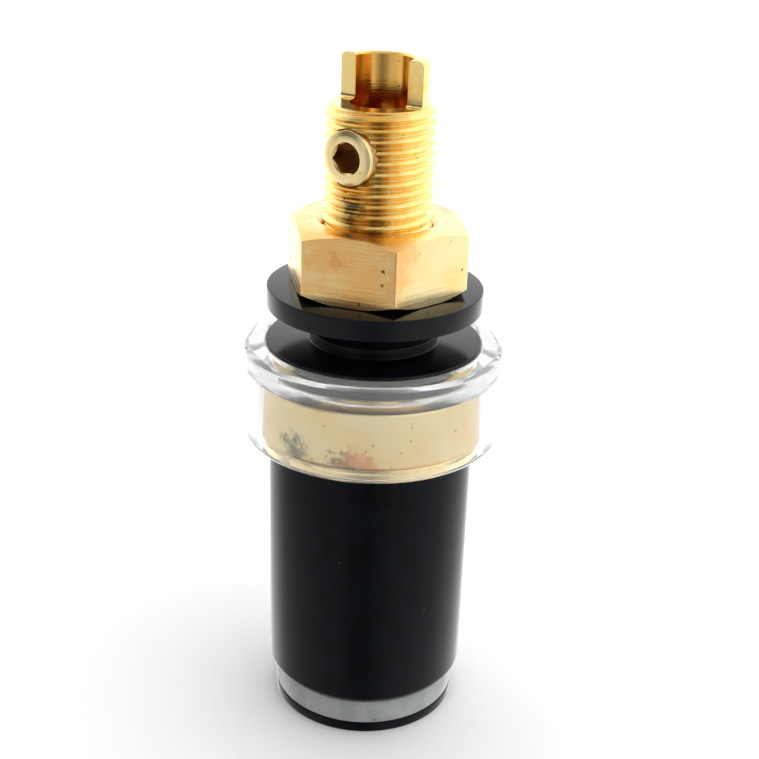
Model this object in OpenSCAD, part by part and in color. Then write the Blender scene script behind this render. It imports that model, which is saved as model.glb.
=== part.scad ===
// Panel binding post for a 4 mm plug, a spade lug or bare wire, standing on the end of its knob.
// The axis of every turned piece is Z. The panel goes between the two insulators.
// The clamping screw of the tail faces -Y.

/* [Post] */
// Outside diameter of the post's M8 fine thread
thread_d = 7.9; // [7.8:0.05:7.95]
// Diameter of the flange that the wire is clamped against
flange_d = 15.7; // [15:0.05:15.9]
// Height of the flange
flange_h = 4.4; // [3:0.1:6]
// Chamfer on the edges of the flange
flange_chamfer = 0.25; // [0.1:0.05:0.5]
// Length of the threaded tail, measured from the flange
tail_len = 19.95; // [19.5:0.05:24]
// Length of the stem inside the knob, measured from the flange
stem_len = 18.2; // [17:0.1:18.5]
// Chamfer at the ends of the thread
thread_chamfer = 0.4; // [0.2:0.1:0.6]
// Bore for a 4 mm plug
plug_bore_d = 4.1; // [4.02:0.02:4.3]
// Depth of the plug bore
plug_bore_depth = 13.8; // [10:0.1:13.8]
// Cross hole for bare wire in the stem
wire_hole_d = 3; // [2:0.1:3]
// Distance from the flange to the middle of the cross hole
wire_hole_drop = 2.15; // [2:0.05:2.3]

/* [Solder cup] */
// Outside diameter of the cup
cup_d = 6.8; // [6:0.1:7]
// Bore of the cup
cup_bore_d = 4.35; // [4:0.05:4.6]
// Height of the cup above the thread
cup_h = 3.15; // [2.5:0.05:4]
// Depth of the cup's bore, measured from its rim
cup_depth = 11; // [9:0.1:12]
// Chamfer round the outside of the rim
cup_chamfer = 0.35; // [0.2:0.05:0.5]
// Radius that the milling cutter leaves at the foot of the open side
cup_fillet = 0.3; // [0.2:0.1:1]

/* [Clamping screw] */
// Diameter of the M4 screw
screw_d = 4; // [3.9:0.05:4]
// Length of the screw
screw_len = 3; // [2.5:0.1:4]
// How far the screw stands out of the thread
screw_proud = 0.15; // [0:0.05:0.3]
// Distance from the top of the thread to the screw's axis
screw_drop = 3.25; // [3:0.05:3.5]
// Size of the hexagon key
socket_af = 2; // [2]
// Depth of the hexagon socket
socket_depth = 1.6; // [1:0.1:1.8]
// Turn of the socket about the screw's axis
socket_turn = 6; // [0:1:59]

/* [Nut] */
// Width of the nut across its flats
nut_af = 12; // [12:0.1:13]
// Height of the nut
nut_h = 5; // [4:0.1:6]
// Where the nut's first corner points, anticlockwise from +X
nut_turn = 15; // [0:1:59]
// Diameter of the countersink at each end of the nut's thread
nut_sink_d = 8.8; // [8.4:0.1:9.4]

/* [Insulators] */
// Diameter of the front insulator
front_d = 16.05; // [15:0.05:16.05]
// Diameter of the rear insulating washer
rear_d = 15.9; // [15:0.1:16.5]
// Thickness of each insulator's disc
disc_h = 1.55; // [1:0.05:2]
// Diameter of the necks that centre the post in the panel's hole
neck_d = 9.6; // [9:0.1:9.8]
// Length of the front insulator's neck
front_neck_h = 0.85; // [0.6:0.05:1.2]
// Length of the rear washer's neck
rear_neck_h = 1.75; // [1:0.05:2.5]
// Round on the edges of the insulators
disc_round = 0.15; // [0.1:0.05:0.3]

/* [Clear ring] */
// Outside diameter of the clear ring
ring_d = 19.25; // [18.5:0.05:20]
// Inside diameter of the clear ring's wall
ring_bore_d = 16.15; // [16.1:0.05:16.5]
// Thickness of the web between the flange and the front insulator
ring_web_h = 1; // [0.6:0.1:1.5]
// How far the wall stands above the web
ring_rise = 1.35; // [1:0.05:2]
// How far the wall reaches below the flange
ring_skirt = 0.55; // [0:0.05:0.7]
// Chamfer round the outside of the ring
ring_chamfer = 0.3; // [0.1:0.05:0.5]

/* [Knob] */
// Diameter of the knob
knob_d = 15.5; // [14.8:0.1:15.6]
// Length of the knob's shell
knob_h = 19.9; // [19:0.1:22]
// Radius on the knob's edge at the clamping washer
knob_round = 0.35; // [0.1:0.05:0.6]
// Radius on the knob's edge at the end ring
knob_foot_round = 0.8; // [0.2:0.1:1]
// Outside diameter of the brass insert
insert_d = 11; // [10:0.1:12]
// Diameter of the end ring and the end cap
end_d = 14.4; // [14:0.05:14.8]
// Height of the end ring
end_ring_h = 2; // [1:0.1:3]
// Thickness of the end cap
cap_h = 0.85; // [0.6:0.05:1.5]
// How far the cap's plug goes into the shell
cap_plug_h = 2; // [1:0.1:2.2]
// Hole in the cap that lets a plug through
cap_hole_d = 4.6; // [4.4:0.1:5]
// Diameter of the clamping washer
clamp_d = 15.4; // [15:0.1:15.6]
// Thickness of the clamping washer
clamp_h = 0.8; // [0.6:0.1:1.2]

/* [Hidden] */
$fn = 96;

gold = [0.87, 0.69, 0.36];
black = [0.07, 0.07, 0.08];
clear = [0.86, 0.9, 0.92, 0.4];
white = [0.86, 0.87, 0.86];

// Clearance between the thread and a thread that turns on it, on the diameter
thread_gap = 0.1;
// Clearance between the thread and a washer that slides along it, on the diameter
slide_gap = 0.2;
// Clearance between pieces that are pressed together, on the diameter
press_gap = 0.02;
// Clearance between the screw and its hole, on the diameter
screw_gap = 0.06;
// How far a cutting shape runs past the face that it cuts
over = 1;
// Angle of the chamfers on the nut
nut_chamfer_angle = 30;
// Chamfer on the screw's face and round the rim of its socket
screw_chamfer = 0.3;
socket_chamfer = 0.2;

end_ring_z = cap_h;
knob_z = end_ring_z + end_ring_h;
insert_z = knob_z + cap_plug_h;
clamp_z = knob_z + knob_h;
flange_z = clamp_z + clamp_h;
web_z = flange_z + flange_h;
front_z = web_z + ring_web_h;
front_neck_z = front_z + disc_h;
rear_neck_z = front_neck_z + front_neck_h;
rear_z = rear_neck_z + rear_neck_h;
nut_z = rear_z + disc_h;
cup_z = web_z + tail_len;
rim_z = cup_z + cup_h;
stem_z = flange_z - stem_len;
screw_z = cup_z - screw_drop;
screw_face = thread_d / 2 + screw_proud;
turn_bore_d = thread_d + thread_gap;
slide_bore_d = thread_d + slide_gap;

// A quarter circle of points about c, with radius r, from angle a to a + 90
function quarter(c, r, a) = [for (i = [0:6]) c + r * [cos(a + 15 * i), sin(a + 15 * i)]];

// A tube whose outer edges have the radius high_r at the top and low_r at the bottom
module round_tube(d, bore, h, high_r, low_r) {
    low_edge = quarter([d / 2 - low_r, low_r], low_r, -90);
    high_edge = quarter([d / 2 - high_r, h - high_r], high_r, 0);
    rotate_extrude()
        polygon(concat([[bore / 2, 0]], low_edge, high_edge, [[bore / 2, h]]));
}

// An upright cylinder with a chamfer c at each end
module chamfered_rod(d, h, c) {
    r = d / 2;
    rotate_extrude()
        polygon([[0, 0], [r - c, 0], [r, c], [r, h - c], [r - c, h], [0, h]]);
}

// The open side of the cup: everything on the -Y side of the axis, with a round foot
module cup_opening() {
    r = cup_fillet;
    corner = [for (i = [0:6]) [-r + r * cos(15 * i), r - r * sin(15 * i)]];
    translate([-cup_d, 0, cup_z])
        rotate([90, 0, 90])
            linear_extrude(2 * cup_d)
                polygon(concat([[-cup_d, 0], [-cup_d, cup_h + over], [0, cup_h + over]], corner));
}

module terminal_post() {
    color(gold)
        difference() {
            union() {
                translate([0, 0, stem_z])
                    chamfered_rod(thread_d, cup_z - stem_z, thread_chamfer);
                translate([0, 0, flange_z])
                    chamfered_rod(flange_d, flange_h, flange_chamfer);
                translate([0, 0, cup_z - over])
                    chamfered_rod(cup_d, cup_h + over, cup_chamfer);
            }
            translate([0, 0, stem_z - over])
                cylinder(d = plug_bore_d, h = plug_bore_depth + over);
            translate([0, 0, rim_z - cup_depth])
                cylinder(d = cup_bore_d, h = cup_depth + over);
            translate([0, 0, flange_z - wire_hole_drop])
                rotate([90, 0, 0])
                    cylinder(d = wire_hole_d, h = 2 * thread_d, center = true);
            translate([0, 0, screw_z])
                rotate([90, 0, 0])
                    cylinder(d = screw_d + screw_gap, h = thread_d);
            cup_opening();
        }
}

module wire_screw() {
    r = screw_d / 2;
    c = screw_chamfer;
    socket_d = socket_af / cos(30);
    color(gold)
        translate([0, -screw_face, screw_z])
            rotate([-90, 0, 0])
                difference() {
                    chamfered_rod(screw_d, screw_len, c);
                    rotate([0, 0, socket_turn])
                        translate([0, 0, -over])
                            cylinder(d = socket_d, h = socket_depth + over, $fn = 6);
                    translate([0, 0, -socket_chamfer])
                        cylinder(
                            r1 = socket_d / 2 + socket_chamfer,
                            r2 = socket_d / 2 - socket_chamfer,
                            h = 2 * socket_chamfer
                        );
                }
}

module hex_nut() {
    flat_r = nut_af / 2;
    corner_r = flat_r / cos(30);
    drop = (corner_r - flat_r) * tan(nut_chamfer_angle);
    sink = (nut_sink_d - turn_bore_d) / 2;
    color(gold)
        translate([0, 0, nut_z])
            difference() {
                intersection() {
                    rotate([0, 0, nut_turn])
                        cylinder(r = corner_r, h = nut_h, $fn = 6);
                    rotate_extrude()
                        polygon([
                            [0, 0], [flat_r, 0], [corner_r, drop],
                            [corner_r, nut_h - drop], [flat_r, nut_h], [0, nut_h]
                        ]);
                }
                translate([0, 0, -over])
                    cylinder(d = turn_bore_d, h = nut_h + 2 * over);
                for (end = [0, 1])
                    translate([0, 0, end * nut_h])
                        mirror([0, 0, end])
                            translate([0, 0, -sink])
                                cylinder(
                                    d1 = nut_sink_d + 2 * sink,
                                    d2 = turn_bore_d,
                                    h = 2 * sink
                                );
            }
}

module rear_washer() {
    color(black) {
        translate([0, 0, rear_z])
            round_tube(rear_d, slide_bore_d, disc_h, disc_round, disc_round);
        translate([0, 0, rear_neck_z])
            round_tube(neck_d, slide_bore_d, rear_neck_h + 2 * disc_round, disc_round, disc_round);
    }
}

module front_insulator() {
    color(black) {
        translate([0, 0, front_z])
            round_tube(front_d, slide_bore_d, disc_h, disc_round, disc_round);
        translate([0, 0, front_neck_z - 2 * disc_round])
            round_tube(neck_d, slide_bore_d, front_neck_h + 2 * disc_round, disc_round, disc_round);
    }
}

module clear_ring() {
    low = flange_z - ring_skirt;
    high = front_z + ring_rise;
    out_r = ring_d / 2;
    in_r = ring_bore_d / 2;
    web_r = slide_bore_d / 2;
    c = ring_chamfer;
    color(clear)
        rotate_extrude()
            polygon([
                [in_r, low], [out_r - c, low], [out_r, low + c], [out_r, high - c],
                [out_r - c, high], [in_r, high], [in_r, front_z], [web_r, front_z],
                [web_r, web_z], [in_r, web_z]
            ]);
}

module clamp_washer() {
    color(gold)
        translate([0, 0, clamp_z])
            round_tube(clamp_d, slide_bore_d, clamp_h, disc_round, disc_round);
}

module knob_shell() {
    color(black)
        translate([0, 0, knob_z])
            round_tube(knob_d, insert_d, knob_h, knob_round, knob_foot_round);
}

module knob_insert() {
    color(gold)
        translate([0, 0, insert_z])
            difference() {
                cylinder(d = insert_d - press_gap, h = clamp_z - insert_z);
                translate([0, 0, -over])
                    cylinder(d = turn_bore_d, h = knob_h + over);
            }
}

module end_ring() {
    color(white)
        translate([0, 0, end_ring_z])
            round_tube(end_d, insert_d, end_ring_h, disc_round, disc_round);
}

module end_cap() {
    color(black)
        difference() {
            union() {
                round_tube(end_d, cap_hole_d, cap_h, disc_round, disc_round);
                cylinder(d = insert_d - press_gap, h = insert_z);
            }
            translate([0, 0, -over])
                cylinder(d = cap_hole_d, h = insert_z + 2 * over);
        }
}

terminal_post();
wire_screw();
hex_nut();
rear_washer();
front_insulator();
clear_ring();
clamp_washer();
knob_shell();
knob_insert();
end_ring();
end_cap();
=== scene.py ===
from math import cos, pi, radians, sin, tan

import bpy
from mathutils import Matrix, Vector


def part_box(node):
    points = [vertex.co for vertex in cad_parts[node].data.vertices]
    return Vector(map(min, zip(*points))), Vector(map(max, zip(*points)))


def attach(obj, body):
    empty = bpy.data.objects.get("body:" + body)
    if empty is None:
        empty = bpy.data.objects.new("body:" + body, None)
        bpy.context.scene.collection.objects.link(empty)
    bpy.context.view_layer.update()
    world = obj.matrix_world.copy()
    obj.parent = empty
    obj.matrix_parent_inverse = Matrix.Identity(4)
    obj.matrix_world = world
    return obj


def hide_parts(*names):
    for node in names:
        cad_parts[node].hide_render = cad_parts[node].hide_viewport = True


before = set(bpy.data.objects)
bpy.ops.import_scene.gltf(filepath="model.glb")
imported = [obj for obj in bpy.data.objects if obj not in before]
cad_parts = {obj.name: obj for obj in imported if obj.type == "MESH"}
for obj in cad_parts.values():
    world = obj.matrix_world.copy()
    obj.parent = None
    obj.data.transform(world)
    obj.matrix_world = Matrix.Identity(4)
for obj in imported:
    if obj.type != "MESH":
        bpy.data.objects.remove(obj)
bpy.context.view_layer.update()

# Everything below is in millimetres until it is handed to Blender, which works in metres.
MM = 0.001

# Faces round a turned piece, and round a small hole
STEPS = 96
SMALL_STEPS = 48


# ---------------------------------------------------------------- places, read from the frame

def low(name):
    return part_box(name)[0].z / MM


def high(name):
    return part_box(name)[1].z / MM


def radius(name):
    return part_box(name)[1].y / MM


thread_r = 3.95
thread_pitch = 0.75
thread_depth = 0.31
thread_chamfer = 0.4
stem_z = low("terminal_post")
rim_z = high("terminal_post")
flange_r = radius("terminal_post")
flange_z = high("clamp_washer")
flange_top = 27.95
web_top = low("front_insulator")
cup_h = 3.15
cup_z = rim_z - cup_h
cup_r = 3.4
cup_bore_r = 2.175
cup_depth = 11
cup_fillet = 0.3
plug_bore_r = 2.05
plug_bore_depth = 13.8
wire_hole_r = 1.5
wire_hole_z = flange_z - 2.15
screw_r = 2.0
screw_z = cup_z - 3.25
screw_face = 4.1
screw_len = 3.0
bore_r = 4.05

screw_gap = 0.03
neck_r = 4.8
front_disc_top = 30.5
rear_disc_bottom = 33.1
shell_bore_r = 5.5
cap_plug_r = 5.49
cap_hole_r = 2.3
ring_bore_r = 8.075
nut_flat_r = 6.0
nut_bore_r = 4.0
nut_mouth_r = 4.4
nut_turn = 45

# How far a cutting shape runs past what it cuts
OVER = 1.0
# A gap left between clear plastic and what it touches, so that no two faces share a place
FILM = 0.02
# Corners closer than this are one
WELD = 0.0005
# The radii between which the stem's finish gives way to the flange's
STEM_TO_FLANGE = (5.0, 5.5)

# The camera stands round to the right of the part's front, looks down, and is turned and tipped a little
CAMERA_AZIMUTH = 33.5
CAMERA_DISTANCE = 90.95
CAMERA_HEIGHT = 65.49
CAMERA_PITCH = 22.917
CAMERA_YAW = 0.34
CAMERA_ROLL = 1.909
CAMERA_LENS = 61.95
CAMERA_SENSOR = 36

GOLD = (0.95, 0.79, 0.42)
GOLD_DEEP = (0.94, 0.70, 0.29)
# Painted reflection: the orange of light bouncing in the gold, laid into the cup's bore and onto the
# thread's front
PAINTED_REFLECTION_ORANGE = (0.90, 0.50, 0.11)
# Painted reflection: the tan of the dim front-left mirrored in the nut's faces
PAINTED_REFLECTION_TAN = (0.92, 0.54, 0.19)
GOLD_TAIL = (0.95, 0.72, 0.28)
# Painted shade: the brown laid into the thread grooves, darker towards the root
PAINTED_GROOVE_SHADE_BROWN = (0.52, 0.25, 0.05)
SPOT_BROWN = (0.22, 0.13, 0.05)
# Painted shade: the brown down inside the screw's socket
PAINTED_SOCKET_SHADE = (0.30, 0.13, 0.035)
TARNISH_GREEN = (0.20, 0.20, 0.09)
TARNISH_BROWN = (0.34, 0.17, 0.05)
COPPER = (0.84, 0.40, 0.15)
BLACK = (0.0018, 0.0022, 0.003)
BLACK_BLUE = (0.002, 0.0035, 0.006)
DUST = (0.22, 0.22, 0.21)
CLEAR = (0.95, 0.96, 0.965)
# Painted shade: the white band's plastic is darkened to grey for the shade it stands in
PAINTED_SHADE_WHITE = (0.36, 0.38, 0.37)
PAINTED_SHADE_WHITE_GREY = (0.29, 0.31, 0.30)
DARK_NICK = (0.06, 0.06, 0.06)
FLOOR_GREY = (0.85, 0.85, 0.85)
FLOOR_WHITE = (0.88, 0.88, 0.88)
CEILING = (0.5, 0.5, 0.49)
BACKDROP = (0.62, 0.62, 0.62)
STUDIO_STRENGTH = 1.6


# ---------------------------------------------------------------- the workbench

def work_on(piece):
    """Makes piece the only selected object, and the active one."""
    bpy.ops.object.select_all(action="DESELECT")
    piece.select_set(True)
    bpy.context.view_layer.objects.active = piece


def added(name):
    """Names the primitive that was just added and puts its place into its mesh."""
    piece = bpy.context.object
    piece.name = name
    piece.data.name = name
    work_on(piece)
    bpy.ops.object.transform_apply(location=True, rotation=True, scale=True)
    return piece


def turned(name, stations, solid=False, steps=STEPS):
    """A turned piece: a circle is drawn out through (radius, height) stations.

    A solid one has a flat face at both ends. Any other is a ring, whose last station joins its first.
    """
    r, z = stations[0]
    fill = "NGON" if solid else "NOTHING"
    bpy.ops.object.select_all(action="DESELECT")
    bpy.ops.mesh.primitive_circle_add(
        vertices=steps, radius=r * MM, fill_type=fill, location=(0, 0, z * MM)
    )
    piece = added(name)
    bpy.ops.object.mode_set(mode="EDIT")
    bpy.ops.mesh.select_all(action="SELECT")
    path = stations[1:] if solid else stations[1:] + stations[:1]
    for next_r, next_z in path:
        rise = (0, 0, (next_z - z) * MM)
        spread = next_r / r
        bpy.ops.mesh.extrude_region_move(TRANSFORM_OT_translate={"value": rise})
        bpy.ops.transform.resize(value=(spread, spread, 1), center_override=(0, 0, 0))
        r, z = next_r, next_z
    bpy.ops.mesh.select_all(action="SELECT")
    bpy.ops.mesh.remove_doubles(threshold=WELD * MM)
    bpy.ops.mesh.normals_make_consistent(inside=False)
    bpy.ops.object.mode_set(mode="OBJECT")
    return piece


def rod(name, r, start, end, axis="Z", steps=STEPS):
    """A plain cylinder from start to end along an axis, for cutting holes."""
    bpy.ops.object.select_all(action="DESELECT")
    turn = {"Z": (0, 0, 0), "Y": (pi / 2, 0, 0)}[axis]
    middle = (start + end) / 2 * MM
    place = {"Z": (0, 0, middle), "Y": (0, middle, 0)}[axis]
    bpy.ops.mesh.primitive_cylinder_add(
        vertices=steps, radius=r * MM, depth=abs(end - start) * MM, location=place, rotation=turn
    )
    return added(name)


def lay(piece, x=0, y=0, z=0):
    """Moves a piece, with its place kept in its mesh."""
    piece.data.transform(Matrix.Translation(Vector((x, y, z)) * MM))
    return piece


def finish_with(piece, kind, **settings):
    """Adds a modifier to a piece and applies it."""
    work_on(piece)
    modifier = piece.modifiers.new(kind.lower(), kind)
    for key, value in settings.items():
        setattr(modifier, key, value)
    bpy.ops.object.modifier_apply(modifier=modifier.name)
    return piece


def combine(piece, tool, operation="DIFFERENCE"):
    """Cuts, joins or intersects a piece with a tool, which is used up."""
    finish_with(piece, "BOOLEAN", object=tool, operation=operation, solver="EXACT")
    bpy.data.objects.remove(tool)
    return piece


def soften(piece, width, segments=3, angle=30):
    """Rounds the sharp edges of a piece."""
    return finish_with(
        piece, "BEVEL", width=width * MM, segments=segments,
        limit_method="ANGLE", angle_limit=radians(angle), harden_normals=False
    )


def smooth(piece, angle=32):
    """Shades a piece smooth, except over edges sharper than angle."""
    work_on(piece)
    bpy.ops.object.shade_smooth_by_angle(angle=radians(angle))
    return piece


def drawn(name, points):
    """A flat outline in the XZ plane: one vertex is drawn out through the points.

    The last point joins the first.
    """
    bpy.ops.object.select_all(action="DESELECT")
    bpy.ops.mesh.primitive_plane_add(size=MM)
    piece = added(name)
    bpy.ops.object.mode_set(mode="EDIT")
    bpy.ops.mesh.select_all(action="SELECT")
    bpy.ops.mesh.merge(type="CENTER")
    x, z = points[0]
    bpy.ops.transform.translate(value=(x * MM, 0, z * MM))
    for next_x, next_z in points[1:]:
        step = ((next_x - x) * MM, 0, (next_z - z) * MM)
        bpy.ops.mesh.extrude_vertices_move(TRANSFORM_OT_translate={"value": step})
        x, z = next_x, next_z
    bpy.ops.mesh.select_all(action="SELECT")
    bpy.ops.mesh.edge_face_add()
    bpy.ops.mesh.delete(type="ONLY_FACE")
    bpy.ops.object.mode_set(mode="OBJECT")
    return piece


def thread_groove(name, r, pitch, depth, start, end):
    """The winding groove of a right-hand thread, as a solid to be cut from a rod of radius r."""
    root = r - depth
    outside = r + 0.4 * depth
    flank = pitch * 0.40
    lip = pitch * 0.455
    mouth = pitch * 0.485
    half = [
        (root, pitch * 0.07), (root + 0.12 * depth, pitch * 0.11), (r - 0.14 * depth, flank),
        (r - 0.04 * depth, lip), (r + 0.02 * depth, mouth), (outside, mouth),
    ]
    section = half + [(x, -z) for x, z in reversed(half)]
    groove = drawn(name, section)
    lay(groove, z=start)
    turns = int((end - start) / pitch) + 1
    finish_with(
        groove, "SCREW", axis="Z", angle=2 * pi, screw_offset=pitch * MM, iterations=turns,
        steps=STEPS, render_steps=STEPS, use_smooth_shade=False
    )
    bpy.ops.object.mode_set(mode="EDIT")
    bpy.ops.mesh.select_all(action="SELECT")
    bpy.ops.mesh.remove_doubles(threshold=WELD * MM)
    bpy.ops.mesh.fill_holes(sides=0)
    bpy.ops.mesh.select_all(action="SELECT")
    bpy.ops.mesh.normals_make_consistent(inside=False)
    bpy.ops.object.mode_set(mode="OBJECT")
    return groove


# ---------------------------------------------------------------- the gold-plated pieces

def make_post():
    """The tail, flange and stem in one, with its threads, bores, holes and open cup."""
    c = thread_chamfer
    edge = 0.25
    rim = 0.35
    mouth = 0.15
    tail_start = flange_top + 0.4
    stem_end = flange_z - 1.2
    post = turned("post", [
        (thread_r - c, stem_z), (thread_r, stem_z + c),
        (thread_r, flange_z), (flange_r - edge, flange_z), (flange_r, flange_z + edge),
        (flange_r, flange_top - edge), (flange_r - edge, flange_top),
        (thread_r, flange_top), (thread_r, cup_z - c), (thread_r - c, cup_z), (cup_r, cup_z),
        (cup_r, rim_z - rim), (cup_r - 0.3 * rim, rim_z - 0.3 * rim), (cup_r - rim, rim_z),
    ], solid=True)
    tail = thread_groove("groove", thread_r, thread_pitch, thread_depth, tail_start, cup_z + OVER)
    combine(post, tail)
    stem = thread_groove("groove", thread_r, thread_pitch, thread_depth, stem_z - OVER, stem_end)
    combine(post, stem)
    cup_bore = turned("bore", [
        (cup_bore_r, rim_z - cup_depth), (cup_bore_r, rim_z - mouth),
        (cup_bore_r + mouth + OVER, rim_z + OVER),
    ], solid=True)
    combine(post, cup_bore)
    combine(post, rod("bore", plug_bore_r, stem_z - OVER, stem_z + plug_bore_depth))
    wire_hole = rod("hole", wire_hole_r, -2 * thread_r, 2 * thread_r, "Y", SMALL_STEPS)
    combine(post, lay(wire_hole, z=wire_hole_z))
    screw_hole = rod("hole", screw_r + screw_gap, 0, -2 * thread_r, "Y", SMALL_STEPS)
    combine(post, lay(screw_hole, z=screw_z))
    combine(post, cup_opening())
    return post


def cup_opening():
    """The milled side of the cup: a block whose inner foot is rounded by the cutter's corner."""
    bpy.ops.object.select_all(action="DESELECT")
    bpy.ops.mesh.primitive_cube_add(size=1)
    piece = added("opening")
    width, depth, height = 3 * cup_r, 2 * cup_r, cup_h + OVER
    piece.data.transform(Matrix.Diagonal((width * MM, depth * MM, height * MM, 1)))
    lay(piece, y=-depth / 2, z=cup_z + height / 2)
    bpy.ops.object.mode_set(mode="EDIT")
    bpy.ops.mesh.select_all(action="DESELECT")
    bpy.ops.object.mode_set(mode="OBJECT")
    near = 0.01
    for edge in piece.data.edges:
        ends = [piece.data.vertices[i].co / MM for i in edge.vertices]
        edge.select = all(abs(end.y) < near and abs(end.z - cup_z) < near for end in ends)
    bpy.ops.object.mode_set(mode="EDIT")
    bpy.ops.mesh.select_mode(type="EDGE")
    bpy.ops.mesh.bevel(offset=cup_fillet * MM, segments=8, affect="EDGES")
    bpy.ops.object.mode_set(mode="OBJECT")
    return piece


def make_screw():
    """The clamping screw, made upright with its socket at the top and laid into its hole."""
    c = 0.3
    pitch = 0.7
    depth = 0.38
    thread_end = 1.9
    # How far in and how far down each point of the rounded face lies
    crown = [(0, 0.3), (0.1, 0.14), (0.36, 0.02), (0.42, 0)]
    screw = turned("screw", [(screw_r - c, 0), (screw_r, c)] + [
        (screw_r - inwards, screw_len - down) for inwards, down in crown
    ], solid=True, steps=SMALL_STEPS)
    combine(screw, thread_groove("groove", screw_r, pitch, depth, -OVER, thread_end))
    socket_r = 1 / cos(radians(30))
    socket_depth = 1.6
    socket_turn = 36
    tall = socket_depth + OVER
    bpy.ops.object.select_all(action="DESELECT")
    bpy.ops.mesh.primitive_cylinder_add(
        vertices=6, radius=socket_r * MM, depth=tall * MM,
        location=(0, 0, (screw_len - socket_depth + tall / 2) * MM), rotation=(0, 0, radians(socket_turn))
    )
    combine(screw, added("socket"))
    dip = 0.2
    dish = turned("dish", [
        (socket_r - dip, screw_len - dip), (socket_r + dip, screw_len + dip)
    ], solid=True, steps=SMALL_STEPS)
    combine(screw, dish)
    into_hole = Matrix.Translation((0, -(screw_face - screw_len) * MM, screw_z * MM))
    screw.data.transform(into_hole @ Matrix.Rotation(pi / 2, 4, "X"))
    return screw


def make_nut():
    """A hexagon whose corners are turned off at both ends, with a countersunk hole."""
    corner_r = nut_flat_r / cos(radians(30))
    drop = (corner_r - nut_flat_r) * tan(radians(30))
    z0, z1 = low("hex_nut"), high("hex_nut")
    bpy.ops.object.select_all(action="DESELECT")
    bpy.ops.mesh.primitive_cylinder_add(
        vertices=6, radius=corner_r * MM, depth=(z1 - z0) * MM,
        location=(0, 0, (z0 + z1) / 2 * MM), rotation=(0, 0, radians(nut_turn))
    )
    nut = added("nut")
    soften(nut, 0.08, 3)
    shape = turned("shape", [
        (nut_flat_r, z0), (corner_r, z0 + drop), (corner_r, z1 - drop), (nut_flat_r, z1)
    ], solid=True)
    combine(nut, shape, "INTERSECT")
    sink = nut_mouth_r - nut_bore_r
    hole = turned("hole", [
        (nut_mouth_r + OVER, z0 - OVER), (nut_bore_r, z0 + sink),
        (nut_bore_r, z1 - sink), (nut_mouth_r + OVER, z1 + OVER),
    ], solid=True)
    combine(nut, hole)
    return nut


post = smooth(make_post())
screw = smooth(make_screw())
nut = smooth(make_nut())


# ---------------------------------------------------------------- the plastic pieces

def washer(name, outer, bore, z0, z1, neck=None, neck_end=None, round_off=0.09):
    """A disc from z0 to z1. Where it has a neck, of radius neck, that goes up or down to neck_end."""
    if neck_end is None:
        section = [(bore, z0), (outer, z0), (outer, z1), (bore, z1)]
    elif neck_end > z1:
        section = [(bore, z0), (outer, z0), (outer, z1), (neck, z1), (neck, neck_end), (bore, neck_end)]
    else:
        section = [(bore, neck_end), (neck, neck_end), (neck, z0), (outer, z0), (outer, z1), (bore, z1)]
    return smooth(soften(turned(name, section), round_off, 4))


front = washer(
    "front_disc", radius("front_insulator"), bore_r, web_top, front_disc_top,
    neck_r, high("front_insulator")
)
rear = washer(
    "rear_disc", radius("rear_washer"), bore_r, rear_disc_bottom, high("rear_washer"),
    neck_r, low("rear_washer")
)
clamp = washer(
    "clamp_disc", radius("clamp_washer"), bore_r, low("clamp_washer"), high("clamp_washer"), round_off=0.1
)


def corner(r, z, size, start):
    """The points of a rounded outer corner at (r, z), from the angle start to a quarter turn further."""
    middle_z = z + size if start < 0 else z - size
    parts = 6
    angles = [radians(start + 90 / parts * part) for part in range(parts + 1)]
    return [(r - size + size * cos(a), middle_z + size * sin(a)) for a in angles]


def make_shell():
    """The knob's black sleeve, rounded more at its foot than at the clamping washer."""
    outer = radius("knob_shell")
    z0, z1 = low("knob_shell"), high("knob_shell")
    foot = corner(outer, z0, 0.8, -90)
    top = corner(outer, z1, 0.35, 0)
    return smooth(turned("shell", [(shell_bore_r, z0)] + foot + top + [(shell_bore_r, z1)]))


shell = make_shell()
band = washer(
    "white_band", radius("end_ring"), shell_bore_r, low("end_ring"), high("end_ring"), round_off=0.12
)
cap = washer(
    "cap", radius("end_cap"), cap_hole_r, 0, low("end_ring"), cap_plug_r, high("end_cap")
)


def make_ring():
    """The clear ring, with the web inside it that lies between the flange and the front disc."""
    z0, z1 = low("clear_ring"), high("clear_ring")
    outer, inner = radius("clear_ring"), ring_bore_r
    web_z0, web_z1 = flange_top + FILM, web_top - FILM
    c = 0.3
    section = [
        (inner, z0), (outer - c, z0), (outer, z0 + c), (outer, z1 - c), (outer - c, z1), (inner, z1),
        (inner, web_z1), (bore_r, web_z1), (bore_r, web_z0), (inner, web_z0),
    ]
    return smooth(soften(turned("ring", section), 0.06, 3))


ring = make_ring()


# ---------------------------------------------------------------- node groups for the finishes

def feed(tree, node, inputs):
    """Links each input of a node to another node's output, or sets it to a value."""
    for key, value in inputs.items():
        socket = node.inputs[key]
        if isinstance(value, bpy.types.NodeSocket):
            tree.links.new(value, socket)
        else:
            socket.default_value = value


def put(tree, kind, inputs=None, **settings):
    """Adds a node with its settings and inputs."""
    made = tree.nodes.new("ShaderNode" + kind)
    for key, value in settings.items():
        setattr(made, key, value)
    feed(tree, made, inputs or {})
    return made


def maths(tree, operation, *values):
    return put(tree, "Math", dict(enumerate(values)), operation=operation).outputs[0]


def ramp_up(tree, value, start, end, low_value=0.0, high_value=1.0):
    """A smooth rise of a value from low_value at start to high_value at end."""
    made = put(tree, "MapRange", {0: value, 1: start, 2: end, 3: low_value, 4: high_value},
               interpolation_type="SMOOTHSTEP")
    return made.outputs[0]


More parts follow.
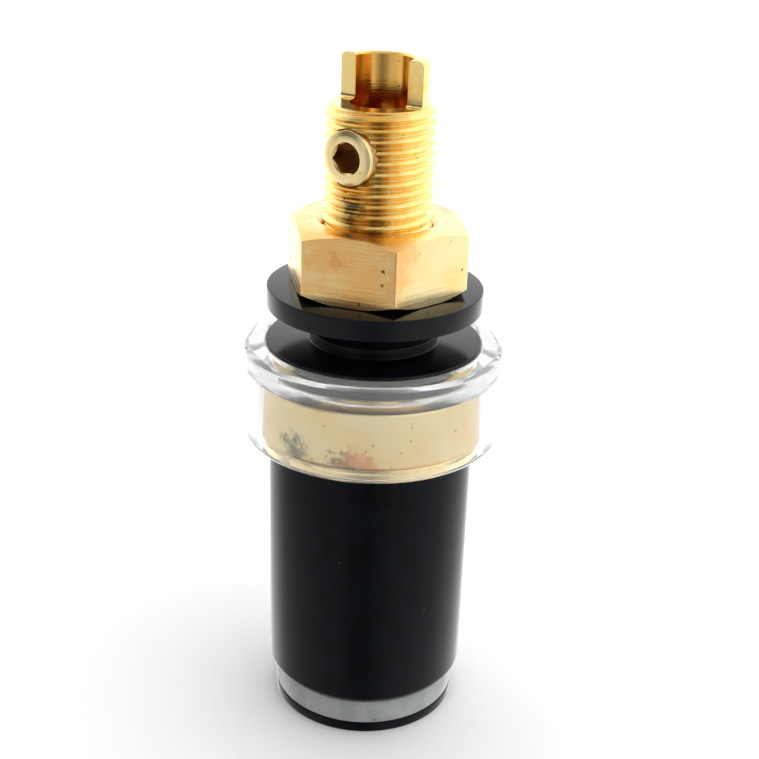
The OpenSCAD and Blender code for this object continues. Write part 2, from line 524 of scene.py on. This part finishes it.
def mixed(tree, mask, colour_a, colour_b):
    """The first colour where the mask is 0, and the second where it is 1."""
    inputs = {0: mask}
    for socket, colour in ((6, colour_a), (7, colour_b)):
        inputs[socket] = colour if isinstance(colour, bpy.types.NodeSocket) else (*colour, 1)
    return put(tree, "Mix", inputs, data_type="RGBA").outputs[2]


def new_group(name, inputs, outputs):
    """An empty shader node group, and its input and output nodes."""
    group = bpy.data.node_groups.new(name, "ShaderNodeTree")
    for label, kind in inputs:
        group.interface.new_socket(label, in_out="INPUT", socket_type="NodeSocket" + kind)
    for label in outputs:
        group.interface.new_socket(label, in_out="OUTPUT", socket_type="NodeSocketFloat")
    return group, group.nodes.new("NodeGroupInput").outputs, group.nodes.new("NodeGroupOutput").inputs


def axis_distance(tree, place):
    """How far a place is from the Z axis."""
    flat = put(tree, "VectorMath", {0: place, 1: (1, 1, 0)}, operation="MULTIPLY").outputs[0]
    return put(tree, "VectorMath", {0: flat}, operation="LENGTH").outputs["Value"]


def tool_lines_group():
    """Fine lines left by a tool: rings of height along Z and, where Radial is 1, along the radius."""
    group, given, result = new_group(
        "tool_lines", [("Place", "Vector"), ("Spacing", "Float"), ("Radial", "Float")], ["Height"]
    )
    round_way = maths(group, "MULTIPLY", axis_distance(group, given["Place"]), given["Radial"])
    up_way = put(group, "SeparateXYZ", {0: given["Place"]}).outputs[2]
    count = maths(group, "DIVIDE", 1, given["Spacing"])
    drift = put(group, "VectorMath", {
        0: given["Place"], 1: (0.25, 0.25, 0)
    }, operation="MULTIPLY").outputs[0]
    across = put(group, "CombineXYZ", {
        0: maths(group, "MULTIPLY", round_way, count), 1: 0.0, 2: maths(group, "MULTIPLY", up_way, count)
    }).outputs[0]
    place = put(group, "VectorMath", {0: across, 1: drift}).outputs[0]
    noise = put(group, "TexNoise", {"Vector": place, "Scale": 1.0, "Detail": 3.0, "Roughness": 0.6})
    group.links.new(noise.outputs[0], result["Height"])
    return group


def specks_group():
    """Small round marks, one in some of the cells of a scatter."""
    group, given, result = new_group("specks", [
        ("Place", "Vector"), ("Cell", "Float"), ("Share", "Float"), ("Size", "Float")
    ], ["Mask"])
    count = maths(group, "DIVIDE", 1, given["Cell"])
    cells = put(group, "TexVoronoi", {"Vector": given["Place"], "Scale": count})
    chance = put(group, "SeparateColor", {0: cells.outputs["Color"]}).outputs[0]
    chosen = maths(group, "LESS_THAN", chance, given["Share"])
    wobble = put(group, "TexNoise", {"Vector": given["Place"], "Scale": 6.0, "Detail": 2.0}).outputs[0]
    edge = maths(group, "MULTIPLY", wobble, given["Size"])
    spot = ramp_up(group, cells.outputs["Distance"], maths(group, "MULTIPLY", edge, 2.0), edge)
    group.links.new(maths(group, "MULTIPLY", spot, chosen), result["Mask"])
    return group


def patch_group():
    """A ragged patch about a centre, broken up by grain."""
    group, given, result = new_group("patch", [
        ("Place", "Vector"), ("Centre", "Vector"), ("Size", "Float"), ("Grain", "Float")
    ], ["Mask"])
    away = put(group, "VectorMath", {0: given["Place"], 1: given["Centre"]}, operation="DISTANCE")
    far = maths(group, "DIVIDE", away.outputs["Value"], given["Size"])
    grain = put(group, "TexNoise", {
        "Vector": given["Place"], "Scale": given["Grain"], "Detail": 4.0, "Roughness": 0.65
    }).outputs[0]
    depth = maths(group, "SUBTRACT", maths(group, "MULTIPLY", grain, 2.2), maths(group, "ADD", far, 0.35))
    group.links.new(ramp_up(group, depth, 0.0, 0.6), result["Mask"])
    return group


tool_lines = tool_lines_group()
specks = specks_group()
patch = patch_group()


def from_group(tree, group, inputs):
    """What a group puts out for these inputs."""
    return put(tree, "Group", inputs, node_tree=group).outputs[0]


# ---------------------------------------------------------------- finishes

def finish(name):
    """A new material: its node tree, its shader, and the place on the piece in millimetres."""
    material = bpy.data.materials.new(name)
    material.use_nodes = True
    tree = material.node_tree
    shader = tree.nodes["Principled BSDF"]
    here = put(tree, "TexCoord").outputs["Object"]
    place = put(tree, "VectorMath", {0: here, "Scale": 1 / MM}, operation="SCALE").outputs[0]
    return material, tree, shader, place


def wire(tree, shader, **inputs):
    """Feeds the shader's inputs, named with _ for each space."""
    feed(tree, shader, {key.replace("_", " "): value for key, value in inputs.items()})


def relief(tree, height, depth):
    """A bump of a height map that is depth millimetres deep."""
    return put(tree, "Bump", {"Height": height, "Distance": depth * MM, "Strength": 1.0}).outputs[0]


def roughened(tree, rough, mask, by):
    """A roughness with by added where the mask is 1."""
    return maths(tree, "ADD", rough, maths(tree, "MULTIPLY", mask, by))


def around(angle, r, z):
    """A place on the piece: an angle from the camera's side, to the right, a radius and a height."""
    turn = radians(angle + CAMERA_AZIMUTH - 90)
    return (r * cos(turn), r * sin(turn), z)


def gold_plate(name, rough=0.12, satin=0.0, lines=0.06, depth=0.004, radial=1.0, painted_groove_shade=0.0, root=0,
               crest=1, inside=None, bore=0, marks=(), spots=(0.9, 0.05, 0.12)):
    """Gold plate over turned brass, with tool lines that are lines apart and depth deep.

    Satin dulls what lies outside the stem and deepens the stem's gold. Painted groove shade darkens a
    thread from its crest radius in to its root radius, a painted orange reflection fills a bore inside its
    radius, and painted shade browns what lies deeper than inside. Marks are patches, some stains and some
    painted reflections, as centre, size, grain and colour. Spots are a cell, the share of cells that hold
    one, and a size.
    """
    material, tree, shader, place = finish(name)
    from_axis = axis_distance(tree, place)
    lines_height = from_group(tree, tool_lines, {"Place": place, "Spacing": lines, "Radial": radial})
    drift = put(tree, "TexNoise", {"Vector": place, "Scale": 0.35, "Detail": 3.0}).outputs[0]
    colour = mixed(tree, ramp_up(tree, drift, 0.35, 0.7), GOLD, GOLD_DEEP)
    # Painted shade: the thread is browned from its crest radius in to its root radius
    if painted_groove_shade:
        painted_groove_shade_mask = ramp_up(tree, from_axis, crest, root, 0.0, painted_groove_shade)
        colour = mixed(tree, painted_groove_shade_mask, colour, PAINTED_GROOVE_SHADE_BROWN)
    if satin:
        colour = mixed(tree, ramp_up(tree, from_axis, *STEM_TO_FLANGE), GOLD_TAIL, colour)
    # Painted reflection: inside the bore's radius the gold is coloured orange
    if bore:
        painted_bore_reflection = ramp_up(tree, from_axis, bore + 0.2, bore, 0.0, 0.9)
        colour = mixed(tree, painted_bore_reflection, colour, PAINTED_REFLECTION_ORANGE)
    # Painted shade: what lies deeper than inside is browned
    if inside is not None:
        inwards = put(tree, "SeparateXYZ", {0: place}).outputs[1]
        sunk = ramp_up(tree, inwards, inside, inside + 0.35, 0.0, 0.85)
        colour = mixed(tree, sunk, colour, PAINTED_SOCKET_SHADE)
    for centre, size, grain, tint in marks:
        mask = from_group(tree, patch, {"Place": place, "Centre": centre, "Size": size, "Grain": grain})
        colour = mixed(tree, mask, colour, tint)
    cell, share, size = spots
    spot = from_group(tree, specks, {"Place": place, "Cell": cell, "Share": share, "Size": size})
    colour = mixed(tree, spot, colour, SPOT_BROWN)
    rough_map = ramp_up(tree, lines_height, 0.3, 0.7, rough * 0.7, rough * 1.5)
    rough_map = roughened(tree, rough_map, spot, 0.3)
    if satin:
        outside = ramp_up(tree, from_axis, *STEM_TO_FLANGE, 0.0, satin)
        rough_map = maths(tree, "ADD", rough_map, outside)
    wire(tree, shader, Base_Color=colour, Metallic=1.0, Roughness=rough_map,
         Normal=relief(tree, lines_height, depth))
    return material


def black_plastic(name, rough=0.1, lines=0.05, depth=0.0012, dust=0.03, ior=1.3):
    """Glossy black plastic, turned, with a little dust."""
    material, tree, shader, place = finish(name)
    lines_height = from_group(tree, tool_lines, {"Place": place, "Spacing": lines, "Radial": 1.0})
    cloud = put(tree, "TexNoise", {"Vector": place, "Scale": 0.5, "Detail": 4.0}).outputs[0]
    colour = mixed(tree, ramp_up(tree, cloud, 0.35, 0.65), BLACK, BLACK_BLUE)
    grains = from_group(tree, specks, {"Place": place, "Cell": 0.8, "Share": dust, "Size": 0.07})
    colour = mixed(tree, grains, colour, DUST)
    rough_map = ramp_up(tree, cloud, 0.3, 0.7, rough * 0.95, rough * 1.15)
    wire(tree, shader, Base_Color=colour, Roughness=roughened(tree, rough_map, grains, 0.4), IOR=ior,
         Normal=relief(tree, lines_height, depth))
    return material


def clear_plastic(name):
    """Clear acrylic, polished after turning, with one scuffed patch at its lower edge."""
    material, tree, shader, place = finish(name)
    lines_height = from_group(tree, tool_lines, {"Place": place, "Spacing": 0.25, "Radial": 1.0})
    scuff = from_group(tree, patch, {
        "Place": place, "Centre": around(-38, 9.5, 23.6), "Size": 1.1, "Grain": 1.6
    })
    height = put(tree, "SeparateXYZ", {0: place}).outputs[2]
    z0, z1 = low("clear_ring"), high("clear_ring")
    fade, face = 0.12, 0.02
    top_end = ramp_up(tree, height, z1 - fade, z1 - face)
    low_end = ramp_up(tree, height, z0 + fade, z0 + face)
    ends = maths(tree, "MAXIMUM", top_end, low_end)
    scratches = from_group(tree, specks, {"Place": place, "Cell": 0.7, "Share": 0.06, "Size": 0.1})
    rough_map = ramp_up(tree, lines_height, 0.35, 0.7, 0.02, 0.06)
    for mask, by in ((ends, 0.04), (scuff, 0.5), (scratches, 0.3)):
        rough_map = roughened(tree, rough_map, mask, by)
    wire(tree, shader, Base_Color=(*CLEAR, 1), Roughness=rough_map, IOR=1.49,
         Normal=relief(tree, lines_height, 0.0004))
    shader.inputs["Transmission Weight"].default_value = 0.93
    return material


def white_plastic(name):
    """White plastic darkened to grey as painted shade, a little uneven, with a dark nick or two."""
    material, tree, shader, place = finish(name)
    cloud = put(tree, "TexNoise", {"Vector": place, "Scale": 0.6, "Detail": 4.0}).outputs[0]
    # Painted shade: both tones are white darkened to grey
    colour = mixed(tree, ramp_up(tree, cloud, 0.35, 0.65), PAINTED_SHADE_WHITE, PAINTED_SHADE_WHITE_GREY)
    nick = from_group(tree, patch, {
        "Place": place, "Centre": around(8, 7.2, 1.1), "Size": 0.16, "Grain": 4.0
    })
    nicks = from_group(tree, specks, {"Place": place, "Cell": 1.1, "Share": 0.06, "Size": 0.08})
    colour = mixed(tree, maths(tree, "MAXIMUM", nick, nicks), colour, DARK_NICK)
    lines_height = from_group(tree, tool_lines, {"Place": place, "Spacing": 0.08, "Radial": 1.0})
    wire(tree, shader, Base_Color=colour, Roughness=ramp_up(tree, cloud, 0.3, 0.7, 0.25, 0.4), IOR=1.45,
         Normal=relief(tree, lines_height, 0.002))
    return material


post_gold = gold_plate(
    # Painted shade browns the thread grooves
    "gold_post", rough=0.10, satin=0.3, lines=0.07, depth=0.006, painted_groove_shade=0.6,
    # Painted reflection: the cup's bore is coloured orange
    root=thread_r - 0.28, crest=thread_r, bore=cup_bore_r,
    marks=[
        # Painted reflection: these four orange patches on the thread's front and in the cup stand for the
        # dark studio front mirrored in the gold
        (around(-4, 2.2, 49.5), 5.0, 0.25, PAINTED_REFLECTION_ORANGE),
        (around(-4, 3.9, 45.0), 4.6, 0.25, PAINTED_REFLECTION_ORANGE),
        (around(-4, 3.9, 41.0), 5.2, 0.25, PAINTED_REFLECTION_ORANGE),
        (around(-6, 3.9, 37.5), 5.2, 0.25, PAINTED_REFLECTION_ORANGE),
        (around(-28, 3.9, 41.3), 1.5, 1.2, TARNISH_GREEN),
        (around(-18, 3.9, 38.6), 3.2, 0.6, TARNISH_BROWN),
        (around(-40, 7.85, 24.4), 1.8, 1.4, TARNISH_GREEN),
        (around(-12, 7.85, 23.7), 2.2, 1.5, TARNISH_BROWN),
        (around(-4, 7.85, 23.9), 1.9, 1.6, COPPER),
    ],
    spots=(0.45, 0.12, 0.2),
)
nut_gold = gold_plate(
    "gold_nut", rough=0.24, lines=0.12, depth=0.008, radial=0.0,
    marks=[
        # Painted reflection: the large tan patch over the nut's front-left faces
        (around(-19, 9.0, 37.0), 12.0, 0.2, PAINTED_REFLECTION_TAN),
        (around(-26, 6.1, 38.0), 1.3, 0.9, COPPER),
        (around(4, 6.5, 36.7), 0.22, 2.0, TARNISH_BROWN),
        (around(56, 6.6, 39.0), 0.5, 2.0, TARNISH_GREEN),
        (around(30, 6.4, 38.6), 0.35, 2.0, TARNISH_GREEN),
    ],
    spots=(0.8, 0.05, 0.24),
)
screw_gold = gold_plate(
    # Painted shade browns the screw's socket below its face
    "gold_screw", rough=0.16, lines=0.05, depth=0.003, inside=-screw_face + 0.12, spots=(0.6, 0.05, 0.15)
)
washer_gold = gold_plate("gold_washer", rough=0.12, spots=(0.6, 0.08, 0.12))
insert_gold = gold_plate("gold_insert", rough=0.2)
black_disc = black_plastic("black_discs", rough=0.16, depth=0.0015, dust=0.04)
black_knob = black_plastic("black_knob", rough=0.11, depth=0.0008, ior=1.2)
clear_ring = clear_plastic("clear_ring")
white_ring = white_plastic("white_ring")


def dress(piece, material, body, slot, *nodes):
    """Gives a piece its material and body, and hides the nodes that it stands for. The slot is not used.
    """
    piece.data.materials.clear()
    piece.data.materials.append(material)
    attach(piece, body)
    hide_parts(*nodes)


dress(post, post_gold, "post", "gold_plate", "terminal_post")
dress(screw, screw_gold, "tail_screw", "gold_plate", "wire_screw")
dress(nut, nut_gold, "nut", "gold_plate", "hex_nut")
dress(front, black_disc, "post", "black_plastic", "front_insulator")
dress(rear, black_disc, "rear_washer", "black_plastic", "rear_washer")
dress(clamp, washer_gold, "clamp", "gold_plate", "clamp_washer")
dress(ring, clear_ring, "post", "clear_plastic", "clear_ring")
dress(shell, black_knob, "knob", "black_plastic", "knob_shell")
dress(band, white_ring, "knob", "white_plastic", "end_ring")
dress(cap, black_knob, "knob", "black_plastic", "end_cap")
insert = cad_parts["knob_insert"]
insert.data.materials.clear()
insert.data.materials.append(insert_gold)


# ---------------------------------------------------------------- the studio

camera = bpy.data.objects.new("camera", bpy.data.cameras.new("camera"))
bpy.context.scene.collection.objects.link(camera)
camera.data.lens = CAMERA_LENS
camera.data.sensor_width = CAMERA_SENSOR
camera.data.clip_start = 0.005
camera.data.clip_end = 20
azimuth = radians(CAMERA_AZIMUTH)
stand = Vector((CAMERA_DISTANCE * sin(azimuth), -CAMERA_DISTANCE * cos(azimuth), CAMERA_HEIGHT)) * MM
camera.matrix_world = (
    Matrix.Translation(stand)
    @ Matrix.Rotation(azimuth - radians(CAMERA_YAW), 4, "Z")
    @ Matrix.Rotation(pi / 2 - radians(CAMERA_PITCH), 4, "X")
    @ Matrix.Rotation(radians(CAMERA_ROLL), 4, "Z")
)
bpy.context.scene.camera = camera


def make_floor():
    """A wide white floor, which the gold doesn't mirror."""
    bpy.ops.object.select_all(action="DESELECT")
    bpy.ops.mesh.primitive_plane_add(size=6)
    floor = added("floor")
    material, tree, shader, place = finish("floor")
    cloud = put(tree, "TexNoise", {"Vector": place, "Scale": 0.02, "Detail": 2.0}).outputs[0]
    wire(tree, shader, Base_Color=mixed(tree, cloud, FLOOR_GREY, FLOOR_WHITE), Roughness=0.7)
    floor.data.materials.append(material)
    floor.visible_glossy = False


def brightness_round(tree, turn, stops):
    """The studio's brightness all round: stops are an angle from the camera, to the right, and a level."""
    ramp = put(tree, "ValToRGB", {0: turn})
    ramp.color_ramp.interpolation = "EASE"
    elements = ramp.color_ramp.elements
    while len(elements) > 1:
        elements.remove(elements[-1])
    for index, (angle, level) in enumerate(stops):
        position = angle / 360 + 0.5
        element = elements[0] if index == 0 else elements.new(position)
        element.position = position
        element.color = (level, level, level, 1)
    return ramp.outputs[0]


def make_light():
    """A white studio, dimmer where the camera stands. The camera itself sees a plain backdrop."""
    world = bpy.data.worlds.new("studio")
    bpy.context.scene.world = world
    world.use_nodes = True
    tree = world.node_tree
    way = put(tree, "TexCoord").outputs["Generated"]
    turned_way = put(tree, "VectorRotate", {"Vector": way, "Angle": -azimuth},
                     rotation_type="Z_AXIS").outputs[0]
    x, y, z = put(tree, "SeparateXYZ", {0: turned_way}).outputs
    angle = maths(tree, "ARCTAN2", x, maths(tree, "MULTIPLY", y, -1))
    turn = maths(tree, "ADD", maths(tree, "DIVIDE", angle, 2 * pi), 0.5)
    low_half = brightness_round(tree, turn, [
        (-180, 1.0), (-135, 1.0), (-105, 0.62), (-80, 0.54), (-37, 0.42), (-12, 0.22), (0, 0.16),
        (15, 0.28), (30, 0.48), (50, 0.58), (83, 0.70), (110, 0.9), (140, 1.0), (180, 1.0),
    ])
    high_half = brightness_round(tree, turn, [
        (-180, 0.85), (-130, 0.85), (-100, 0.45), (-78, 0.10), (-55, 0.13), (-32, 0.42), (-14, 0.13),
        (0, 0.08), (14, 0.28), (30, 0.6), (60, 0.8), (100, 0.85), (180, 0.85),
    ])
    side = mixed(tree, ramp_up(tree, z, -0.15, 0.2), low_half, high_half)
    colour = mixed(tree, ramp_up(tree, z, 0.8, 0.98), side, CEILING)
    seen = put(tree, "LightPath").outputs["Is Camera Ray"]
    shown = mixed(tree, seen, colour, BACKDROP)
    wire(tree, tree.nodes["Background"], Color=shown, Strength=STUDIO_STRENGTH)


def soft_box(name, place, size, power):
    """A square lamp at a place, turned towards the part, which the gold doesn't mirror."""
    lamp = bpy.data.lights.new(name, "AREA")
    lamp.size = size
    lamp.energy = power
    box = bpy.data.objects.new(name, lamp)
    bpy.context.scene.collection.objects.link(box)
    box.location = place
    box.rotation_euler = Vector(place).to_track_quat("Z", "Y").to_euler()
    box.visible_glossy = False


make_floor()
make_light()
soft_box("top_box", (0.1, 0.1, 0.9), 1.2, 5)
bpy.context.scene.view_settings.view_transform = "Standard"
# Light that is caught between the clear ring's walls needs many turns to get out
bpy.context.scene.cycles.max_bounces = 24
bpy.context.scene.cycles.glossy_bounces = 20
bpy.context.scene.cycles.transmission_bounces = 20
